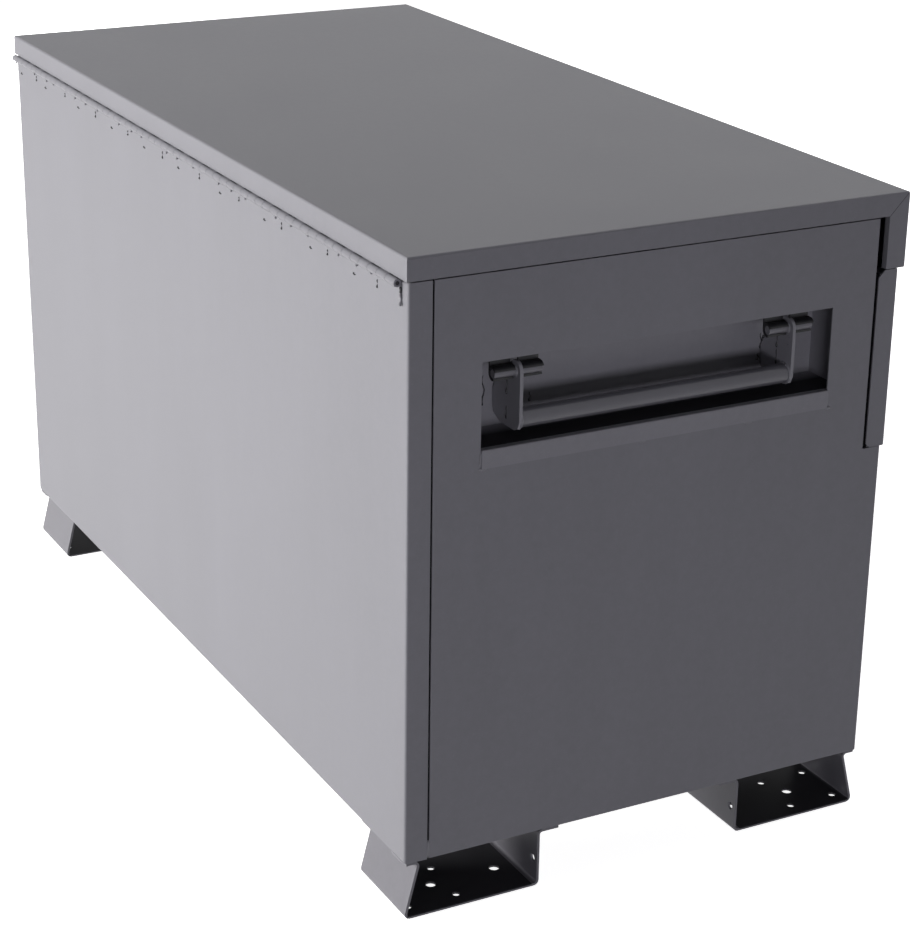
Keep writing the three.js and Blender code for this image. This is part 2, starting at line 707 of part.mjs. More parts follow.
const studZ = hingeZ - stayRadius * Math.sin(stayPivotAngle + stayRestAngle);
const slotStart = 2 * stayRadius * Math.sin(stayRestAngle / 2) - studRadius - slotSpare;
const slotEnd = 2 * stayRadius * Math.sin((stayRestAngle + lidOpening) / 2) + studRadius + slotSpare;
const stayEnd = slotEnd + stayHalfWidth - slotHalfWidth;
const stayOuterDepth = pocketDepth + sheet + stayStandoff;
const stayInnerDepth = stayOuterDepth + stayPlate;
const lugOuterDepth = stayInnerDepth + stayRunningGap;
const lugInnerDepth = lugOuterDepth + stayPlate;

// A bar with round ends from one distance to another along the line from the pivot to the stud
function roundedBar(from, to, halfWidth) {
  const points = [];
  for (let step = 0; step <= stayEndSteps; step += 1) {
    const angle = Math.PI / 2 + (Math.PI * step) / stayEndSteps;
    points.push(new THREE.Vector2(from + halfWidth * Math.cos(angle), halfWidth * Math.sin(angle)));
  }
  for (let step = 0; step <= stayEndSteps; step += 1) {
    const angle = -Math.PI / 2 + (Math.PI * step) / stayEndSteps;
    points.push(new THREE.Vector2(to + halfWidth * Math.cos(angle), halfWidth * Math.sin(angle)));
  }
  const turn = Math.atan2(studZ - stayPivotZ, studY - stayPivotY);
  return new THREE.Shape(points.map((point) => point.rotateAround(new THREE.Vector2(), turn)
    .add(new THREE.Vector2(stayPivotY, stayPivotZ))));
}

function stayArm(side) {
  const [from, to] = fromEnd(side, stayOuterDepth, stayInnerDepth);
  const arm = prism(roundedBar(0, stayEnd - stayHalfWidth, stayHalfWidth), 'x', from, to);
  const slot = prism(roundedBar(slotStart + slotHalfWidth, slotEnd - slotHalfWidth, slotHalfWidth), 'x',
    from - overrun, to + overrun);
  const hole = bar(rivetRadius + rivetHoleGap, 'x', from - overrun, to + overrun,
    stayPivotY, stayPivotZ, studSides);
  return cut(arm, slot, hole);
}

function stayLug(side) {
  const across = [stayPivotY - lugWidth / 2, stayPivotY + lugWidth / 2];
  const plate = block(fromEnd(side, lugOuterDepth, lugInnerDepth), across, [stayPivotZ, lidUnderside]);
  const round = bar(lugWidth / 2, 'x', ...fromEnd(side, lugOuterDepth, lugInnerDepth), stayPivotY, stayPivotZ,
    studSides);
  const flange = block(fromEnd(side, lugOuterDepth, lugInnerDepth + lugFoot), across,
    [lidUnderside - stayPlate, lidUnderside]);
  const [from, to] = fromEnd(side, lugOuterDepth, lugInnerDepth);
  const hole = bar(rivetRadius + rivetHoleGap, 'x', from - overrun, to + overrun,
    stayPivotY, stayPivotZ, studSides);
  return cut(join(plate, round, flange), hole);
}

function stayRivet(side) {
  const shank = bar(rivetRadius, 'x',
    ...fromEnd(side, stayOuterDepth - stayRunningGap, lugInnerDepth + fitGap),
    stayPivotY, stayPivotZ, studSides);
  const outerHead = fromEnd(side, stayOuterDepth - fitGap - rivetHeadThickness, stayOuterDepth - fitGap);
  const innerHead = fromEnd(side, lugInnerDepth + fitGap, lugInnerDepth + fitGap + rivetHeadThickness);
  return join(shank, ...[outerHead, innerHead].map((span) => bar(rivetHeadRadius, 'x', ...span,
    stayPivotY, stayPivotZ, studSides)));
}

function stayStud(side) {
  const root = pocketDepth + sheet;
  const shank = bar(studRadius, 'x',
    ...fromEnd(side, root, stayInnerDepth + stayRunningGap + studHeadThickness), studY, studZ, studSides);
  const collar = bar(studHeadRadius, 'x', ...fromEnd(side, root, stayOuterDepth - stayRunningGap),
    studY, studZ, studSides);
  const head = bar(studHeadRadius, 'x',
    ...fromEnd(side, stayInnerDepth + stayRunningGap, stayInnerDepth + stayRunningGap + studHeadThickness),
    studY, studZ, studSides);
  return join(shank, collar, head);
}

// The body, welded from its panels
addPiece('back_panel', backPanel(), paint);
addPiece('front_panel', frontPanel(), paint);
addPiece('lock_channel', lockChannel(), paint);
addPiece('floor_panel', floorPanel(), innerPaint);
addPiece('hinge_lower_leaf', lowerLeaf(), paint);
addPiece('hinge_upper_leaf', upperLeaf(), paint);
addPiece('hinge_pin', hingePin(), plated);
addPiece('lid_shell', lidShell(), paint);

// What each end of the box has
for (const [end, side] of Object.entries(sides)) {
  const rearArmY = pocketMiddle + armSpan / 2;
  const frontArmY = pocketMiddle - armSpan / 2;
  addPiece(`${end}_end_panel`, endPanel(side), paint);
  addPiece(`${end}_rear_foot`, foot(side, back, -1), paint);
  addPiece(`${end}_front_foot`, foot(side, front, 1), paint);
  addPiece(`${end}_handle_pocket`, handlePocket(side), paint);
  addPiece(`${end}_rear_pivot_strap`, pivotStrap(side, rearArmY), paint);
  addPiece(`${end}_front_pivot_strap`, pivotStrap(side, frontArmY), paint);
  addPiece(`${end}_handle_grip`, handleGrip(side), paint);
  addPiece(`${end}_rear_handle_arm`, handleArm(side, rearArmY), paint);
  addPiece(`${end}_front_handle_arm`, handleArm(side, frontArmY), paint);
  addPiece(`${end}_rear_pivot_rod`, pivotRod(side, rearArmY), paint);
  addPiece(`${end}_front_pivot_rod`, pivotRod(side, frontArmY), paint);
  addPiece(`${end}_lock_housing`, lockHousing(side), innerPaint);
  addPiece(`${end}_lock_hook`, lockHook(side), plated);
  addPiece(`${end}_lid_tongue`, lidTongue(side), paint);
  addPiece(`${end}_lid_stiffener`, lidStiffener(side), innerPaint);
  addPiece(`${end}_stay_arm`, stayArm(side), plated);
  addPiece(`${end}_stay_lug`, stayLug(side), innerPaint);
  addPiece(`${end}_stay_rivet`, stayRivet(side), plated);
  addPiece(`${end}_stay_stud`, stayStud(side), plated);
}

export default box;
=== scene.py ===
import math

import bmesh
import bpy
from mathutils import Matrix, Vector


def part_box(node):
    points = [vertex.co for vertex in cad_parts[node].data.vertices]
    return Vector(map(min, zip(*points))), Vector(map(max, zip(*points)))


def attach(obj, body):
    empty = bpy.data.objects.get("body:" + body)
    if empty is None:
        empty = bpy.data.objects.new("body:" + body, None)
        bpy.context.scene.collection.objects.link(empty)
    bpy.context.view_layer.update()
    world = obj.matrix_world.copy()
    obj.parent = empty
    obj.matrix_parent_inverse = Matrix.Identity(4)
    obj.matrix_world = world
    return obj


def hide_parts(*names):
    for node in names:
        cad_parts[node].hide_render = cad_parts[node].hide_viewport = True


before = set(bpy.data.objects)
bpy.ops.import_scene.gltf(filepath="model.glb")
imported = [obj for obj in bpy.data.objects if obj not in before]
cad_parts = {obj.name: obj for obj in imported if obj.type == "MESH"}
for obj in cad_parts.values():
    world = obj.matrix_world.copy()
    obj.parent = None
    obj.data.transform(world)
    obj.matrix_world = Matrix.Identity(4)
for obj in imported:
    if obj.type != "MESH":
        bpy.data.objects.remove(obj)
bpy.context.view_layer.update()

bpy.ops.object.select_all(action="DESELECT")


# Camera: it stands off the left rear corner of the box, higher than the lid, and looks down
# along it, so that the back, the left end and the lid are seen. Its place, turn and lens were
# worked out from the corners and edges of the box in the photograph.
bpy.ops.object.camera_add(location=(-2.6119, 1.3091, 1.3962),
                          rotation=[math.radians(turn) for turn in (68.930, -0.815, -117.822)])
camera = bpy.context.object
camera.name = "photo_camera"
camera.data.sensor_width = 36
camera.data.lens = 93.07
camera.data.clip_start = 0.05
camera.data.clip_end = 120
bpy.context.scene.camera = camera
bpy.context.scene.view_settings.view_transform = "Standard"


# Studio: a floor and a room that are white where they are seen or mirrored and dull to all other
# light, so that little is thrown up into the feet. A large soft lamp behind the box makes the back
# its brightest face, a low one looks into the left handle pocket, and weaker ones fill the rest.
class Socket:
    """A shader socket that is reckoned with as a number is."""

    def __init__(self, tree, end):
        self.tree = tree
        self.end = end

    def maths(self, operation, first, second):
        node = self.tree.nodes.new("ShaderNodeMath")
        node.operation = operation
        for place, value in zip(node.inputs, (first, second)):
            if isinstance(value, Socket):
                self.tree.links.new(value.end, place)
            else:
                place.default_value = value
        return Socket(self.tree, node.outputs[0])

    def __add__(self, other):
        return self.maths("ADD", self, other)

    def __sub__(self, other):
        return self.maths("SUBTRACT", self, other)

    def __rsub__(self, other):
        return self.maths("SUBTRACT", other, self)

    def __mul__(self, other):
        return self.maths("MULTIPLY", self, other)

    def __lt__(self, other):
        return self.maths("LESS_THAN", self, other)

    def __gt__(self, other):
        return self.maths("GREATER_THAN", self, other)

    def __abs__(self):
        return self.maths("ABSOLUTE", self, 0)

    __radd__ = __add__
    __rmul__ = __mul__


class Shader:
    """The nodes of one material or of the room."""

    def __init__(self, owner):
        owner.use_nodes = True
        self.tree = owner.node_tree
        self.tree.nodes.clear()

    def node(self, kind, settings, inputs, out=0):
        made = self.tree.nodes.new(kind)
        for name, value in settings.items():
            if name == "stops":
                while len(made.color_ramp.elements) < len(value):
                    made.color_ramp.elements.new(0.5)
                for stop, (place, shade) in zip(made.color_ramp.elements, value):
                    stop.position = place
                    stop.color = (shade, shade, shade, 1)
            else:
                setattr(made, name, value)
        for name, value in inputs.items():
            if isinstance(value, Socket):
                self.tree.links.new(value.end, made.inputs[name])
            else:
                made.inputs[name].default_value = value
        return Socket(self.tree, made.outputs[out]) if made.outputs else None


def seen_directly(shader):
    """1 for what the camera sees itself, in a gloss or through glass, and 0 for other light."""
    kinds = [shader.node("ShaderNodeLightPath", {}, {}, ray)
             for ray in ("Is Camera Ray", "Is Glossy Ray", "Is Transmission Ray")]
    return kinds[0] + kinds[1] + kinds[2]


room = bpy.data.worlds.new("pale_room")
bpy.context.scene.world = room
air = Shader(room)
white = (1, 1, 1, 1)
room_light = air.node("ShaderNodeBackground", {}, {"Color": (0.93, 0.92, 1, 1), "Strength": 0.08})
room_white = air.node("ShaderNodeBackground", {}, {"Color": white, "Strength": 1})
air.node("ShaderNodeOutputWorld", {}, {"Surface": air.node(
    "ShaderNodeMixShader", {}, {0: seen_directly(air), 1: room_light, 2: room_white})})

bpy.ops.mesh.primitive_plane_add(size=30, location=(0, 0, 0))
floor = bpy.context.object
floor.name = "studio_floor"
bpy.ops.object.transform_apply(location=True, rotation=True, scale=True)
floor_paint = bpy.data.materials.new("studio_floor")
ground = Shader(floor_paint)
lit_floor = ground.node("ShaderNodeBsdfDiffuse", {}, {"Color": (0.9, 0.9, 0.9, 1)})
dim_floor = ground.node("ShaderNodeBsdfDiffuse", {}, {"Color": (0.05, 0.05, 0.052, 1)})
white_glow = ground.node("ShaderNodeEmission", {}, {"Color": white, "Strength": 0.93})
pale_floor = ground.node("ShaderNodeAddShader", {}, {0: lit_floor, 1: white_glow})
ground.node("ShaderNodeOutputMaterial", {}, {"Surface": ground.node(
    "ShaderNodeMixShader", {}, {0: seen_directly(ground), 1: dim_floor, 2: pale_floor})})
floor.data.materials.append(floor_paint)


def soft_lamp(name, place, target, width, power, colour=(1, 1, 1)):
    """A square lamp of this width in metres that faces the target and isn't mirrored in paint."""
    bpy.ops.object.light_add(type="AREA", location=place)
    lamp = bpy.context.object
    lamp.name = name
    lamp.data.shape = "SQUARE"
    lamp.data.size = width
    lamp.data.energy = power
    lamp.data.color = colour
    lamp.visible_glossy = False
    lamp.rotation_euler = (Vector(target) - Vector(place)).to_track_quat("-Z", "Y").to_euler()


soft_lamp("rear_lamp", (0.55, 4.3, 1.15), (0.1, 0, 0.35), 2.2, 288, (1, 0.99, 0.96))
soft_lamp("overhead_lamp", (0.75, 0.6, 3.6), (0.1, 0, 0.4), 2.4, 8)
soft_lamp("end_lamp", (-4.4, 1.5, 0.32), (-0.6, 0, 0.35), 1.0, 56, (0.95, 0.94, 1))
soft_lamp("right_lamp", (4.5, -0.5, 0.85), (0.6, 0, 0.35), 1.4, 60)
soft_lamp("front_lamp", (0.5, -4.4, 0.9), (0.1, 0, 0.4), 1.8, 130)


# Back panel: one sheet of 1.9 mm steel, bent round both rear corners, flanged at its top and
# bottom and welded to the end panels. It has the semi-matte grey paint of the whole box, sprayed
# on after the welding.
mm = 0.001


def painted(name, colour, roughness, grain, shade_and_seam_mask=None):
    """Sprayed paint: a little uneven in shade and gloss, with a fine peel and slow sheet waves.

    The noises are a few to the metre for the sheet's waves and hundreds for the peel. Where the
    mask gives 1, near-black dull steel is drawn instead of the paint: painted shade in gaps and
    hollows, and the dark line of a seam.
    """
    paint = bpy.data.materials.new(name)
    coat = Shader(paint)
    place = coat.node("ShaderNodeTexCoord", {}, {}, "Object")
    streaks = coat.node("ShaderNodeMapping", {}, {"Vector": place, "Scale": (1, 1, 0.25)})
    clouds, mottle, peel, waves = [
        coat.node("ShaderNodeTexNoise", {}, {
            "Vector": spread, "Scale": scale, "Detail": detail, "Roughness": harshness})
        for spread, scale, detail, harshness in (
            (streaks, 9, 4, 0.6), (place, 95, 5, 0.65), (place, 520, 3, 0.5), (place, 3.2, 1, 0.4))]
    dust = coat.node("ShaderNodeValToRGB", {"stops": [(0.60, 0), (0.78, 1)]}, {"Fac": coat.node(
        "ShaderNodeTexNoise", {}, {"Vector": place, "Scale": 260, "Detail": 2, "Roughness": 0.7})})
    shade = 0.5 + (clouds - 0.5) * 0.9 + (mottle - 0.5) * 0.7 * grain
    dark = tuple(part * 0.88 for part in colour)
    light = tuple(part * 1.12 for part in colour)
    speck = tuple(min(1, part * 1.45) for part in colour)
    tone = coat.node("ShaderNodeMix", {"data_type": "RGBA"}, {
        0: shade, 6: (*dark, 1), 7: (*light, 1)}, 2)
    tone = coat.node("ShaderNodeMix", {"data_type": "RGBA"}, {
        0: dust * 0.16 * grain, 6: tone, 7: (*speck, 1)}, 2)
    height = waves + peel * 0.022 * grain + mottle * 0.012 * grain
    bump = coat.node("ShaderNodeBump", {}, {"Strength": 1, "Distance": 1.1 * mm, "Height": height})
    gloss = roughness + (mottle - 0.5) * 0.14 + (clouds - 0.5) * 0.10 + dust * 0.08
    skin = coat.node("ShaderNodeBsdfPrincipled", {}, {
        "Base Color": tone, "Roughness": gloss, "Normal": bump, "Specular IOR Level": 0.3})
    # Painted shade: near-black, dull colour mixed in wherever the mask says.
    if shade_and_seam_mask:
        shade_and_seam_black = coat.node("ShaderNodeBsdfDiffuse", {}, {"Color": (0.006, 0.006, 0.007, 1)})
        skin = coat.node("ShaderNodeMixShader", {}, {
            0: shade_and_seam_mask(coat, place), 1: skin, 2: shade_and_seam_black})
    coat.node("ShaderNodeOutputMaterial", {}, {"Surface": skin})
    return paint


def lies_in(edge, axis, distances):
    """Whether both ends of an edge are at one of these distances from the middle on an axis."""
    places = [abs(end.co["xyz".index(axis)]) for end in edge.verts]
    return any(all(abs(place - distance) < 0.05 * mm for place in places)
               for distance in distances)


def formed(node, ease, bends=(), smooth=40):
    """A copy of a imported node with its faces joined, its bends rounded and its cut edges eased.

    Each bend is a radius and the planes that both ends of its edges lie in, as (axis, distances).
    """
    name = f"{node}_formed"
    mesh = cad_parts[node].data.copy()
    mesh.name = name
    piece = bpy.data.objects.new(name, mesh)
    bpy.context.collection.objects.link(piece)
    bpy.ops.object.select_all(action="DESELECT")
    bpy.context.view_layer.objects.active = piece
    piece.select_set(True)
    bpy.ops.mesh.customdata_custom_splitnormals_clear()
    bpy.ops.object.mode_set(mode="EDIT")
    bpy.ops.mesh.select_mode(type="EDGE")
    bpy.ops.mesh.select_all(action="SELECT")
    bpy.ops.mesh.remove_doubles(threshold=0.01 * mm)
    bpy.ops.mesh.dissolve_limited(angle_limit=math.radians(0.5))
    for radius, planes in bends:
        bpy.ops.mesh.select_all(action="DESELECT")
        shape = bmesh.from_edit_mesh(mesh)
        for edge in shape.edges:
            if all(lies_in(edge, axis, distances) for axis, distances in planes):
                edge.select_set(True)
        bmesh.update_edit_mesh(mesh)
        bpy.ops.mesh.bevel(offset=radius, segments=4, affect="EDGES", clamp_overlap=False)
    bpy.ops.object.mode_set(mode="OBJECT")
    if ease:
        soft = piece.modifiers.new("eased", "BEVEL")
        soft.width = ease
        soft.segments = 2
        soft.limit_method = "ANGLE"
        soft.angle_limit = math.radians(50)
        bpy.ops.object.modifier_apply(modifier="eased")
    bpy.ops.object.shade_smooth_by_angle(angle=math.radians(smooth))
    piece.modifiers.new("flat_faces", "WEIGHTED_NORMAL").keep_sharp = True
    bpy.ops.object.modifier_apply(modifier="flat_faces")
    return piece


def dress(piece, paint, slot, body, *nodes):
    """Paints the piece and lets it stand for its nodes."""
    piece.data.materials.clear()
    piece.data.materials.append(paint)
    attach(piece, body)
    if nodes:
        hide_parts(*nodes)


def shaded_recess(depth, axis, start, finish):
    """For painted shade: places this deep in from the end faces and between two values on an axis,
    drawn near-black.
    """
    def shade_and_seam_mask(coat, place):
        across, along = [coat.node("ShaderNodeSeparateXYZ", {}, {"Vector": place}, way)
                         for way in (0, "xyz".index(axis))]
        return (abs(across) < back_high.x - depth) * (along > start) * (along < finish)
    return shade_and_seam_mask


grey = (0.205, 0.203, 0.226)
matte = 0.46
hidden_depth = 1.2 * mm
rear_corner_bend = 3.2 * mm
grey_paint = painted("grey_paint", grey, matte, 1)
back_low, back_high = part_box("back_panel")
end_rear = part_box("left_end_panel")[1].y
# Painted shade: the narrow groove between the end panel's lapped edge and the back panel is drawn
# near-black, as the deep shade in it.
rear_groove_shade = shaded_recess(hidden_depth, "y", end_rear - 0.6 * mm, end_rear + 2.2 * mm)
back_paint = painted("back_paint", grey, matte, 1, rear_groove_shade)
back = formed("back_panel", 0.35 * mm, [
    (rear_corner_bend, [("x", [back_high.x]), ("y", [back_high.y])]),
])
dress(back, back_paint, "grey_paint", "box_body", "back_panel")


# End panels: each is one steel sheet, flanged at its top and bottom, bent round the front corner,
# notched for the lock channel and cut out for the handle. The rear edge is lapped and welded
# inside, and leaves a narrow groove beside the back panel.
ends = ("left", "right")
front_corner_bend, flange_bend, lapped_edge_bend = 2.8 * mm, 1.7 * mm, 0.9 * mm
for end in ends:
    low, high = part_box(f"{end}_end_panel")
    face = max(abs(low.x), abs(high.x))
    panel = formed(f"{end}_end_panel", 0.3 * mm, [
        (front_corner_bend, [("x", [face]), ("y", [abs(low.y)])]),
        (flange_bend, [("x", [face]), ("z", [low.z])]),
        (lapped_edge_bend, [("x", [face]), ("y", [high.y])]),
    ])
    dress(panel, grey_paint, "grey_paint", "box_body", f"{end}_end_panel")


# Front panel and lock channel: the front is a sheet with a ledge and a set-back wall at its top.
# The channel is a shallow cover welded across it, with a window for each padlock and ends that
# turn round onto the end faces.
front_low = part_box("front_panel")[0]
# Painted shade: the part of the front panel seen in the slot beside the lock channel's end return
# is drawn near-black, as the deep shade in that slot.
gap_front, gap_rear = front_low.y + 18 * mm, front_low.y + 26 * mm
return_gap_shade = shaded_recess(hidden_depth, "y", gap_front, gap_rear)
front_paint = painted("front_paint", grey, matte, 1, return_gap_shade)
front = formed("front_panel", 0.3 * mm, [
    (flange_bend, [("y", [abs(front_low.y)]), ("z", [front_low.z])]),
])
dress(front, front_paint, "grey_paint", "box_body", "front_panel")

channel_low, channel_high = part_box("lock_channel")
channel_front = abs(channel_low.y)
return_bend = 2.6 * mm
channel = formed("lock_channel", 0.3 * mm, [
    (return_bend, [("x", [channel_high.x]), ("y", [channel_front])]),
    (flange_bend, [("y", [channel_front]), ("z", [channel_low.z, channel_high.z])]),
])
dress(channel, grey_paint, "grey_paint", "box_body", "lock_channel")


# Lock housings and hooks: a thin steel cup behind each window of the channel and, in it, a plated
# bracket whose hole lines up with the hole of the lid's tongue.
def plated(name, roughness):
    """Bright zinc on steel: cloudy, with fine scratches along the bar."""
    metal = bpy.data.materials.new(name)
    zinc = Shader(metal)
    place = zinc.node("ShaderNodeTexCoord", {}, {}, "Object")
    spangle = zinc.node("ShaderNodeTexVoronoi", {}, {"Vector": place, "Scale": 170})
    drawn = zinc.node("ShaderNodeMapping", {}, {"Vector": place, "Scale": (1, 1, 0.04)})
    scratch, cloud = [
        zinc.node("ShaderNodeTexNoise", {}, {
            "Vector": spread, "Scale": scale, "Detail": detail, "Roughness": 0.6})
        for spread, scale, detail in ((drawn, 900, 3), (place, 40, 4))]
    tone = zinc.node("ShaderNodeMix", {"data_type": "RGBA"}, {
        0: spangle * 0.4 + cloud * 0.6, 6: (0.47, 0.48, 0.49, 1), 7: (0.64, 0.65, 0.66, 1)}, 2)
    bump = zinc.node("ShaderNodeBump", {}, {
        "Strength": 1, "Distance": 0.05 * mm, "Height": scratch + cloud})
    gloss = roughness + (cloud - 0.5) * 0.25
    skin = zinc.node("ShaderNodeBsdfPrincipled", {}, {
        "Base Color": tone, "Metallic": 1, "Roughness": gloss, "Normal": bump})
    zinc.node("ShaderNodeOutputMaterial", {}, {"Surface": skin})
    return metal


inner_paint = painted("inner_paint", (0.17, 0.168, 0.187), 0.55, 1.4)
zinc_plate = plated("zinc_plate", 0.34)
for end in ends:
    dress(formed(f"{end}_lock_housing", 0.25 * mm), inner_paint, "inner_paint", "box_body",
          f"{end}_lock_housing")
    dress(formed(f"{end}_lock_hook", 0.4 * mm), zinc_plate, "zinc_plate", "box_body",
          f"{end}_lock_hook")


# Floor: a flat steel sheet laid on the bottom flanges inside the box and tacked to them. It has
# the thin dull paint of all that is out of sight.
dress(formed("floor_panel", 0.3 * mm), inner_paint, "inner_paint", "box_body", "floor_panel")


# Feet: each is a short hat section bent from 3 mm plate, drilled for a caster, a pivot bolt and an
# anchor bolt, and welded under a corner. Its cut edges are sheared, and eased by the paint alone.
# The floor of the channel and the back of its leaning wall are drawn dark, as painted shade.
foot_lean = 17 / 66
inside_from, inside_to = 2.3 * mm, 158 * mm
foot_sole, foot_ceiling = 2 * mm, 66 * mm
# How dark the painted shade inside the feet, and the mitre line of the lid, are drawn.
shade_and_seam_darkness = 0.75


def foot_channel_shade(outer, way):
    """For painted shade: the inside of a foot whose outer side is at this Y and which reaches this
    way.
    """
    def shade_and_seam_mask(coat, place):
        along, up = [coat.node("ShaderNodeSeparateXYZ", {}, {"Vector": place}, part)
                     for part in (1, 2)]
        depth = (along - outer) * way
        between = (depth - up * foot_lean > inside_from) * (depth < inside_to)
        return between * (up > foot_sole) * (up < foot_ceiling) * shade_and_seam_darkness
    return shade_and_seam_mask


for row, way in (("rear", -1), ("front", 1)):
    foot_low, foot_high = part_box(f"left_{row}_foot")
    foot_paint = painted(f"{row}_foot_paint", (0.165, 0.162, 0.182), 0.42, 1.3,
                         foot_channel_shade(foot_high.y if way < 0 else foot_low.y, way))
    for end in ends:
        dress(formed(f"{end}_{row}_foot", 0.3 * mm, smooth=35), foot_paint, "grey_paint",
              "box_body", f"{end}_{row}_foot")


# Corner and foot welds: short beads that close each rear corner groove at its foot and hold the
# corners on the feet. They were left as laid, rippled, and painted over.
def beads(name, paths, paint, body):
    """One piece of beads or paint runs. A path is its places and radii and whether it closes."""
    bpy.ops.object.select_all(action="DESELECT")
    curve = bpy.data.curves.new(name, "CURVE")
    curve.dimensions = "3D"
    curve.bevel_depth = 1
    curve.bevel_resolution = 2
    curve.use_fill_caps = True
    for spots, closed in paths:
        line = curve.splines.new("POLY")
        line.points.add(len(spots) - 1)
        for point, (place, radius) in zip(line.points, spots):
            point.co = (*place, 1)
            point.radius = radius
        line.use_cyclic_u = closed
    piece = bpy.data.objects.new(name, curve)
    bpy.context.collection.objects.link(piece)
    bpy.context.view_layer.objects.active = piece
    piece.select_set(True)
    bpy.ops.object.convert(target="MESH")
    piece = bpy.context.object
    piece.name = name
    bpy.ops.object.shade_smooth_by_angle(angle=math.radians(70))
    dress(piece, paint, "grey_paint", body)
    return piece


def rippled(start, finish, radius, pitch=2.4 * mm):
    """A straight bead: it swells and thins with each ripple and tapers off at both ends."""
    start, finish = Vector(start), Vector(finish)
    steps = max(4, round((finish - start).length / pitch) * 2)
    spots = []
    for step in range(steps + 1):
        taper = min(1, 4 * min(step, steps - step) / steps + 0.15)
        spots.append((start.lerp(finish, step / steps), radius * taper * (1 if step % 2 else 0.8)))
    return spots, False


weld_paint = painted("weld_paint", (0.225, 0.223, 0.245), 0.36, 0.6)
groove = end_rear + 1.15 * mm
side_face = back_high.x
groove_bead, foot_bead = 2.1 * mm, 1.7 * mm
groove_bottom, groove_top = back_low.z + 1 * mm, back_low.z + 23 * mm
foot_weld_start, foot_weld_end = side_face - 4 * mm, side_face - 34 * mm
foot_weld_inset = 1.2 * mm
corner_welds = []
for side in (-1, 1):
    corner_welds.append(rippled((side * (side_face - 0.9 * mm), groove, groove_bottom),
                                (side * (side_face - 0.6 * mm), groove, groove_top), groove_bead))
    for edge in (back_high.y - foot_weld_inset, front_low.y + foot_weld_inset):
        corner_welds.append(rippled((side * foot_weld_start, edge, back_low.z),
                                    (side * foot_weld_end, edge, back_low.z), foot_bead))
beads("body_welds", corner_welds, weld_paint, "box_body")


# Handle pockets: a pan of bent sheet behind each end panel. Its floor comes out through the
# opening and folds down over the panel, where it is held by a few small welds. The floor below
# the grip is drawn dark, as the grip's painted shadow.
pocket_floor = 531 * mm
shadow_from, shadow_full, shadow_to = 548 * mm, 570 * mm, 601 * mm


def grip_shadow(coat, place):
    """For painted shadow: the pocket's floor below the grip, as far as the fold of the lip, drawn
    dark.
    """
    across, up = [coat.node("ShaderNodeSeparateXYZ", {}, {"Vector": place}, way) for way in (0, 2)]
    shade = coat.node("ShaderNodeMapRange", {}, {
        "Value": abs(across), 1: shadow_from, 2: shadow_full, 3: 0, 4: 0.85})
    return shade * (abs(across) < shadow_to) * (up < pocket_floor + 0.5 * mm)


# Painted light: the pan's paint is drawn lighter than the box's grey, to stand in for light on the
# plate deep in the pocket.
lightened_pocket_paint = painted("lightened_pocket_paint", (0.245, 0.242, 0.268), 0.42, 1.1, grip_shadow)
sides = ((-1, "left"), (1, "right"))
lip_fold = 1.5 * mm
lip_bead, lip_edge_bead = 2.1 * mm, 1.5 * mm
lip_welds = []
for side, end in sides:
    low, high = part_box(f"{end}_handle_pocket")
    lip_face = max(abs(low.x), abs(high.x))
    pan = formed(f"{end}_handle_pocket", 0.25 * mm, [
        (lip_fold, [("x", [lip_face]), ("z", [pocket_floor])]),
    ])
    dress(pan, lightened_pocket_paint, "grey_paint", "box_body", f"{end}_handle_pocket")
    behind_lip = side * (lip_face - 2.2 * mm)
    for along in (214.2 * mm, 23 * mm, -111.8 * mm, -216.2 * mm):
        lip_welds.append(rippled((behind_lip, along - 7 * mm, low.z - 0.5 * mm),
                                 (behind_lip, along + 3 * mm, low.z - 0.5 * mm), lip_bead))
    for along in (-217.4 * mm, 215.3 * mm):
        lip_welds.append(rippled((behind_lip, along, low.z + 1 * mm),
                                 (behind_lip, along, low.z + 19 * mm), lip_edge_bead))
beads("lip_welds", lip_welds, weld_paint, "box_body")


# Pivot straps and rods: two curled steel hooks on a leaf under the pocket's ceiling take a short
# rod on each side of the handle's arm. The hooks are drawn near-black: painted shade under the
# pocket's ceiling.
strap_shade_and_pin_paint = painted("strap_shade_and_pin_paint", (0.022, 0.022, 0.025), 0.4, 0.8)
rod_paint = painted("rod_paint", (0.185, 0.182, 0.203), 0.38, 1.1)
for end in ends:
    for row in ("rear", "front"):
        dress(formed(f"{end}_{row}_pivot_strap", 0.25 * mm, smooth=35), strap_shade_and_pin_paint, "grey_paint",
              "box_body", f"{end}_{row}_pivot_strap")
        dress(formed(f"{end}_{row}_pivot_rod", 0.6 * mm), rod_paint, "grey_paint",
              f"{end}_handle", f"{end}_{row}_pivot_rod")


# Handles: a steel tube between two flame-cut arm plates, welded all round at both joints. The
# paint is glossier here and has run down before it dried, as it has on the pocket's back.
handle_paint = painted("handle_paint", (0.165, 0.163, 0.183), 0.20, 0.35)
arm_paint = painted("arm_paint", (0.25, 0.247, 0.275), 0.3, 0.6)
run_paint = painted("run_paint", (0.035, 0.035, 0.04), 0.16, 0.2)


def ring(centre, radius, bead, spots=22):
    """A weld all round a bar that lies along Y."""
    round_it = []
    for step in range(spots):
        turn = math.tau * step / spots
        place = Vector(centre) + Vector((radius * math.cos(turn), 0, radius * math.sin(turn)))
        round_it.append((place, bead * (1 if step % 2 else 0.78)))
    return round_it, True


def run(top, length, radius, sway=0.4 * mm, drop=1.9):
    """A run of paint that sways as it falls and ends in a drop this many times as thick."""
    thickness = (0.25, 1, 1, 1, 1, 1, drop * 0.75, drop, drop * 0.75)
    spots = []
    for step, part in enumerate(thickness):
        share = step / (len(thickness) - 1)
        place = Vector(top) + Vector((0, sway * math.sin(9 * share), -length * share))
        spots.append((place, radius * part))
    spots.append((Vector(top) + Vector((0, 0, -length - radius)), radius * 0.2))
    return spots, False


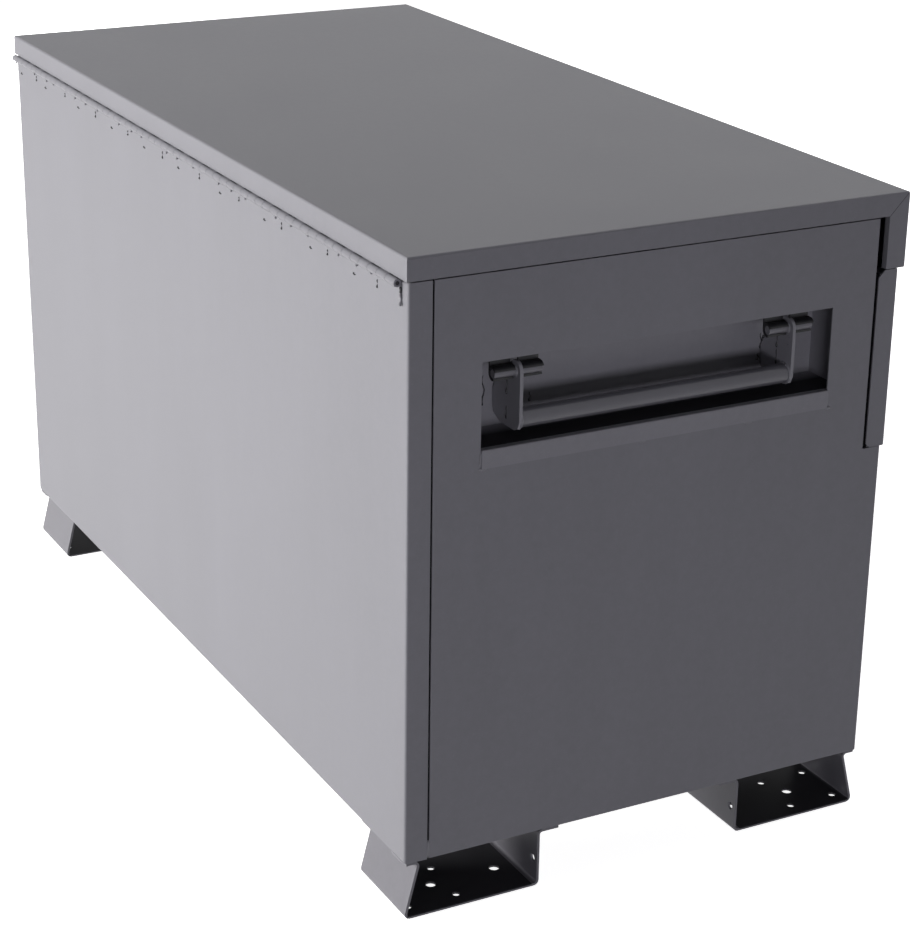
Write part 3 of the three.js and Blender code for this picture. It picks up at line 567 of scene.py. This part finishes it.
grip_bead = 1.7 * mm
rod_ring, rod_bead = 5.3 * mm, 1.2 * mm
spatter = 0.9 * mm
spatter_ring = 12 * mm
for side, end in sides:
    swings = f"{end}_handle"
    grip_low, grip_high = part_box(f"{end}_handle_grip")
    grip = (grip_low + grip_high) / 2
    rod_low, rod_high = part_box(f"{end}_rear_pivot_rod")
    rod = (rod_low + rod_high) / 2
    dress(formed(f"{end}_handle_grip", 0.5 * mm), handle_paint, "grey_paint", swings,
          f"{end}_handle_grip")
    grip_ring = (grip_high.z - grip_low.z) / 2 + 0.3 * mm
    handle_welds = []
    for row, way in (("rear", 1), ("front", -1)):
        arm = f"{end}_{row}_handle_arm"
        arm_low, arm_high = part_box(arm)
        dress(formed(arm, 0.5 * mm, smooth=35), arm_paint, "grey_paint", swings, arm)
        inner_face = arm_low.y if way > 0 else arm_high.y
        handle_welds.append(ring((grip.x, inner_face, grip.z), grip_ring, grip_bead))
        for face in (arm_low.y, arm_high.y):
            handle_welds.append(ring((rod.x, face, rod.z), rod_ring, rod_bead, 14))
    rear_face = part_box(f"{end}_rear_handle_arm")[1].y
    front_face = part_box(f"{end}_front_handle_arm")[1].y
    for turn, lift in ((0.4, 1.9), (0.9, 2.1), (1.5, 1.7), (1.2, 2.6), (2.0, 2.2)):
        place = Vector((grip.x + spatter_ring * math.cos(turn), front_face + lift * mm,
                        grip.z + spatter_ring * math.sin(turn)))
        half = Vector((0, 0, spatter))
        handle_welds.append(([(place - half, 0.2 * mm), (place, spatter),
                              (place + half, 0.2 * mm)], False))
    beads(f"{end}_handle_welds", handle_welds, weld_paint, swings)
    rear_run, front_run = rear_face + 0.2 * mm, front_face + 0.2 * mm
    beads(f"{end}_handle_runs", [
        run((side * 578 * mm, rear_run, 596 * mm), 20 * mm, 0.55 * mm),
        run((side * 577.6 * mm, rear_run, 563 * mm), 14 * mm, 0.4 * mm, 0.2 * mm, 2.6),
        run((side * 577 * mm, front_run, 594 * mm), 15 * mm, 0.6 * mm),
        run((side * 576.8 * mm, front_run, 577 * mm), 17 * mm, 0.5 * mm, 0.3 * mm, 2.4),
    ], run_paint, swings)
    plate = side * 545.3 * mm
    beads(f"{end}_pocket_runs", [
        run((plate, 180 * mm, 588 * mm), 33 * mm, 0.7 * mm, 1.6 * mm),
        run((plate, 123.5 * mm, 561 * mm), 10 * mm, 0.6 * mm, 0.8 * mm, 2.2),
        run((plate, -168 * mm, 586 * mm), 18 * mm, 0.6 * mm, 0.9 * mm),
        run((plate, -171 * mm, 583 * mm), 26 * mm, 0.6 * mm, 1.1 * mm),
        run((plate, -165 * mm, 562 * mm), 7 * mm, 0.8 * mm, 0.9 * mm, 2.0),
    ], run_paint, "box_body")


# Hinge: a continuous hinge of rolled steel, its lower leaf stitch welded to the back panel and its
# upper one to the hem of the lid. The paint has run down the lower leaf and hangs in drops from
# its knuckles and its left end.
dress(formed("hinge_lower_leaf", 0, smooth=50), grey_paint, "grey_paint", "box_body",
      "hinge_lower_leaf")
dress(formed("hinge_upper_leaf", 0, smooth=50), grey_paint, "grey_paint", "lid",
      "hinge_upper_leaf")
dress(formed("hinge_pin", 0.3 * mm, smooth=50), strap_shade_and_pin_paint, "zinc_plate", "box_body", "hinge_pin")
leaf_low, leaf_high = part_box("hinge_lower_leaf")
leaf_face = back_high.y + 1.5 * mm
stitch_length, stitch_bead = 3.4 * mm, 1.7 * mm
stitch_y = leaf_face - 0.7 * mm
stitches = []
for along in (104, 211, 333, 460, 589, 702, 817, 943, 1075, 1177):
    x = leaf_low.x + along * mm
    stitches.append(rippled((x, stitch_y, leaf_low.z), (x + stitch_length, stitch_y, leaf_low.z),
                            stitch_bead, 1.7 * mm))
beads("hinge_stitches", stitches, run_paint, "box_body")
first_run, run_spacing = leaf_low.x + 51 * mm, 118 * mm
run_top = leaf_low.z + 9 * mm
end_x = leaf_low.x - 0.6 * mm
leaf_runs = [run((first_run + run_spacing * step, leaf_face, run_top),
                 (9 - step * 3 % 5) * mm, 0.55 * mm, 0.5 * mm) for step in range(10)]
leaf_runs.append(run((end_x, leaf_face, leaf_low.z + 15 * mm), 6 * mm, 1.2 * mm, 0.2 * mm, 1))
beads("hinge_runs", leaf_runs, run_paint, "box_body")
knuckles = 59
knuckle = (leaf_high.x - leaf_low.x) / knuckles
drip_y, drip_z = leaf_high.y - 3.2 * mm, leaf_high.z - 6.5 * mm
drips = []
for step in range((knuckles + 1) // 2):
    stray = (step * step * 11 % 13 - 6) * mm
    x = leaf_low.x + knuckle * (2 * step + 0.5) + stray
    drips.append(run((x, drip_y, drip_z), (2 + step * 5 % 4) * mm,
                     (0.7 + 0.12 * (step * 3 % 4)) * mm, 0.3 * mm))
drips.append(run((end_x, leaf_face, run_top), 13 * mm, 1 * mm, 0.7 * mm, 1.9))
beads("hinge_drips", drips, weld_paint, "box_body")


# Lid: a pan of 1.9 mm sheet with a hemmed rim at the back and both ends, and a deep front flap
# whose end returns meet the rim in a welded mitre.
lid_low, lid_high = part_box("lid_shell")
lid_end, lid_front, lid_top = lid_high.x, abs(lid_low.y), lid_high.z
flap_return = 25.4 * mm
mitre_width, mitre_skin = 0.45 * mm, 0.6 * mm


def mitred(coat, place):
    """For paint: the fine dark line of the mitre, at 45 degrees across both ends of the lid."""
    across, along, up = [coat.node("ShaderNodeSeparateXYZ", {}, {"Vector": place}, way)
                         for way in range(3)]
    outside = abs(across) > lid_end - mitre_skin
    near = along < flap_return - lid_front
    line = abs(up + along - (lid_top - lid_front)) < mitre_width
    return outside * near * line * shade_and_seam_darkness


lid_paint = painted("lid_paint", grey, matte, 1, mitred)
rim_bend, flap_bend = 2.8 * mm, 1.7 * mm
shell = formed("lid_shell", 0.3 * mm, [
    (rim_bend, [("x", [lid_end]), ("z", [lid_top])]),
    (flap_bend, [("x", [lid_end]), ("y", [lid_front])]),
])
dress(shell, lid_paint, "grey_paint", "lid", "lid_shell")


# Lid fittings: two shallow stiffening channels spot welded under the lid, and a plate tongue near
# each end that drops into the lock housing.
for end in ends:
    dress(formed(f"{end}_lid_stiffener", 0.2 * mm), inner_paint, "inner_paint", "lid",
          f"{end}_lid_stiffener")
    dress(formed(f"{end}_lid_tongue", 0.4 * mm), grey_paint, "grey_paint", "lid",
          f"{end}_lid_tongue")


# Lid stays: a slotted plated arm at each end turns on a rivet in a lug under the lid and slides on
# a headed stud on the handle pocket.
for end in ends:
    for node, ease, paint, slot, body in (
            (f"{end}_stay_arm", 0.3 * mm, zinc_plate, "zinc_plate", f"{end}_stay"),
            (f"{end}_stay_lug", 0.3 * mm, inner_paint, "inner_paint", "lid"),
            (f"{end}_stay_rivet", 0.4 * mm, zinc_plate, "zinc_plate", "lid"),
            (f"{end}_stay_stud", 0.4 * mm, zinc_plate, "zinc_plate", "box_body")):
        dress(formed(node, ease, smooth=35), paint, slot, body, node)
